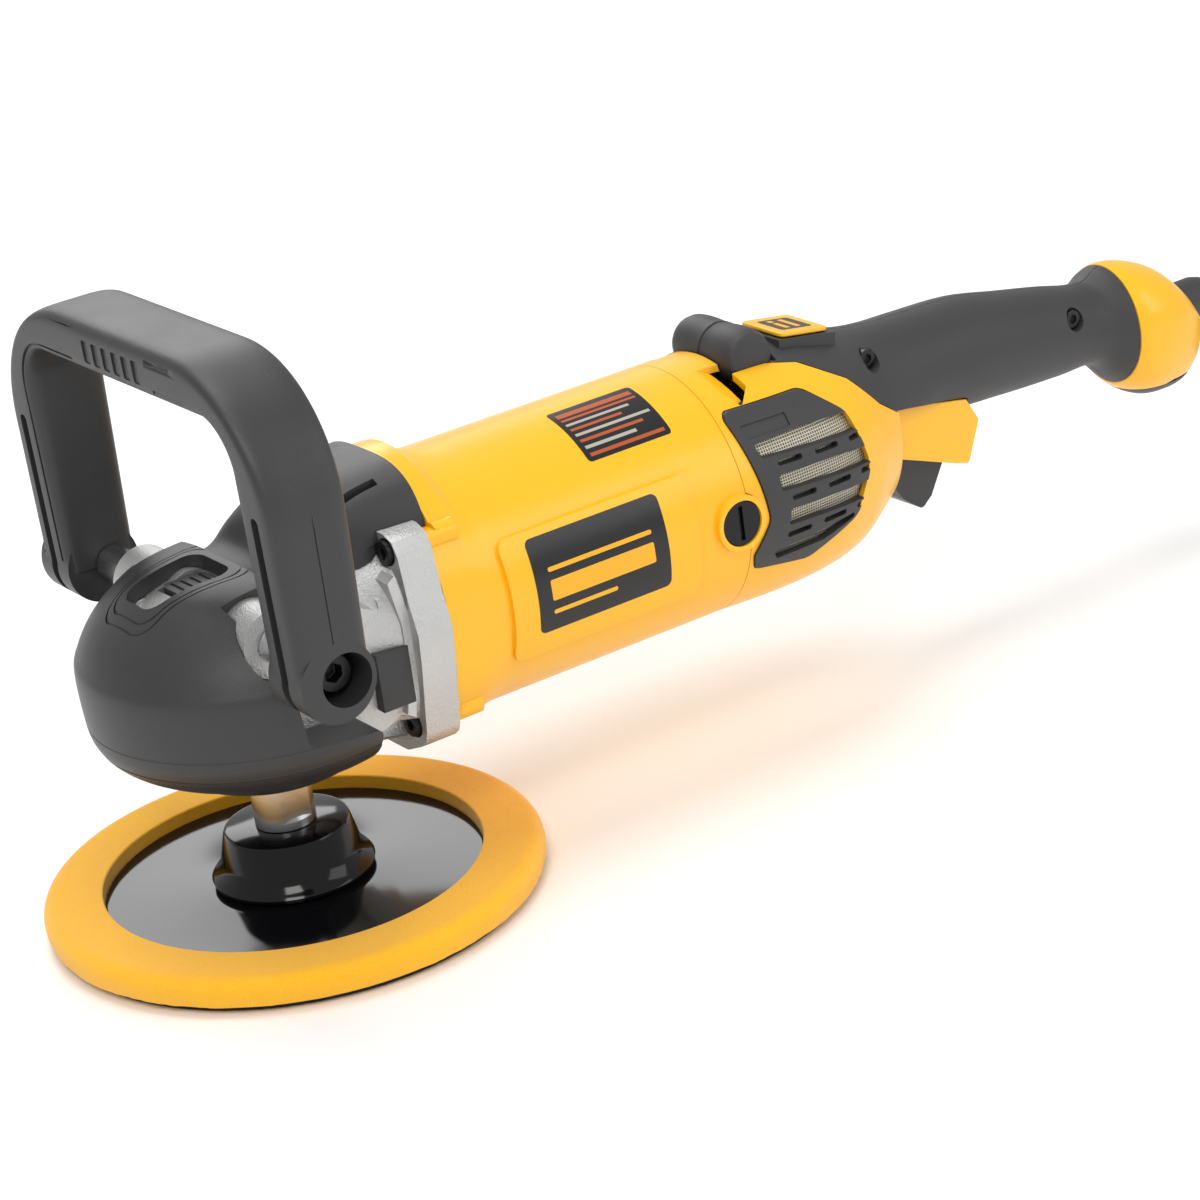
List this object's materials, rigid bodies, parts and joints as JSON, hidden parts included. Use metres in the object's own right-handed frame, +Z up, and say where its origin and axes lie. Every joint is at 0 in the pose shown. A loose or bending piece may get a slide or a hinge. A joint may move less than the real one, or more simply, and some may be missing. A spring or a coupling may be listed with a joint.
{
  "type": "rotary polisher",
  "caption": "Corded rotary polisher with a foam hook-and-loop backing pad, D-shaped bail handle, cast gear head, ribbed motor intakes and a rear grip with a trigger",
  "frame": {"origin": "centre of the pad's working face, on the spindle's axis", "axes": "+Z up the spindle, +X from the head to the grip's tail"},
  "size_m": [0.771, 0.2339, 0.2173],
  "materials": {
    "yellow_housing": "satin moulded nylon",
    "black_housing": "fine-grained moulded nylon",
    "soft_grip": "overmoulded rubber",
    "gloss_black": "polished",
    "pad_foam": "cut foam with a soft skin",
    "hook_fabric": "hook tape",
    "cast_case": "sand cast, blasted",
    "steel": "turned",
    "dark_steel": "black oxide",
    "laminated_steel": "stacked laminations",
    "copper": "copper segments",
    "brass": "drawn",
    "carbon": "pressed carbon",
    "intake_mesh": "woven mesh"
  },
  "bodies": {
    "housing": {"gear_case": "cast_case", "head_cover": "black_housing", "saddle_cover": "black_housing", "bail_handle": "black_housing", "handle_bolt_left": "dark_steel", "handle_bolt_right": "dark_steel", "handle_spacer_left": "steel", "handle_spacer_right": "steel", "flange_screw_1": "dark_steel", "flange_screw_2": "dark_steel", "flange_screw_3": "dark_steel", "flange_screw_4": "dark_steel", "spindle_bearing_lower": "steel", "spindle_bearing_upper": "steel", "bearing_retainer": "steel", "field_case": "yellow_housing", "stator": "laminated_steel", "armature_bearing_front": "steel", "armature_bearing_rear": "steel", "rear_housing": "yellow_housing", "brush_holder_left": "brass", "brush_holder_right": "brass", "carbon_brush_left": "carbon", "carbon_brush_right": "carbon", "brush_cap_left": "black_housing", "brush_cap_right": "black_housing", "lint_cover_left": "soft_grip", "lint_cover_right": "soft_grip", "mesh_screen_left": "intake_mesh", "mesh_screen_right": "intake_mesh", "grip_left": "soft_grip", "grip_right": "soft_grip", "grip_screw_front": "dark_steel", "grip_screw_rear": "dark_steel", "tail_cap": "yellow_housing", "badge_plate": "yellow_housing", "trigger_guard": "yellow_housing", "trigger_pin": "steel", "switch_body": "black_housing", "strain_relief": "soft_grip", "lock_spring": "steel", "trigger_spring": "steel", "cord_tube": "soft_grip", "cord_coil": "soft_grip", "plug": "soft_grip"},
    "spindle_set": {"spindle": "steel", "spindle_collar": "steel", "bevel_gear": "steel", "backing_hub": "gloss_black", "backing_plate": "gloss_black", "foam_pad": "pad_foam", "hook_face": "hook_fabric"},
    "rotor": {"armature": "laminated_steel", "fan": "black_housing", "commutator": "copper", "bevel_pinion": "steel"},
    "trigger_lever": {"trigger": "black_housing"},
    "plunger": {"switch_plunger": "yellow_housing"},
    "wheel": {"speed_wheel": "soft_grip"},
    "lock": {"lock_button": "soft_grip"}
  },
  "joints": [
    {"name": "spindle_spin", "type": "hinge", "parent": "housing", "child": "spindle_set", "pos_m": [0, 0, 0.02], "axis": [0, 0, 1], "continuous": true},
    {"name": "rotor_spin", "type": "hinge", "parent": "housing", "child": "rotor", "pos_m": [0.1, 0, 0.0953], "axis": [1, 0, 0], "continuous": true},
    {"name": "trigger_pull", "type": "hinge", "parent": "housing", "child": "trigger_lever", "pos_m": [0.2705, 0, 0.0915], "axis": [0, -1, 0], "range_deg": [0, 8], "stiffness_Nm_per_rad": 1, "deforming": ["trigger_spring"]},
    {"name": "plunger_slide", "type": "slide", "parent": "housing", "child": "plunger", "axis": [0, 0, 1], "range_m": [0, 0.0025]},
    {"name": "wheel_turn", "type": "hinge", "parent": "housing", "child": "wheel", "pos_m": [0.207, 0, 0.1415], "axis": [0, 1, 0], "range_deg": [-70, 70]},
    {"name": "lock_press", "type": "slide", "parent": "housing", "child": "lock", "axis": [0, 0, -1], "range_m": [0, 0.0035], "stiffness_N_per_m": 600, "deforming": ["lock_spring"]}
  ],
  "couplings": [
    {"joint": "rotor_spin", "follows": "spindle_spin", "ratio": 3},
    {"joint": "plunger_slide", "follows": "trigger_pull", "m_per_rad": 0.0175}
  ]
}
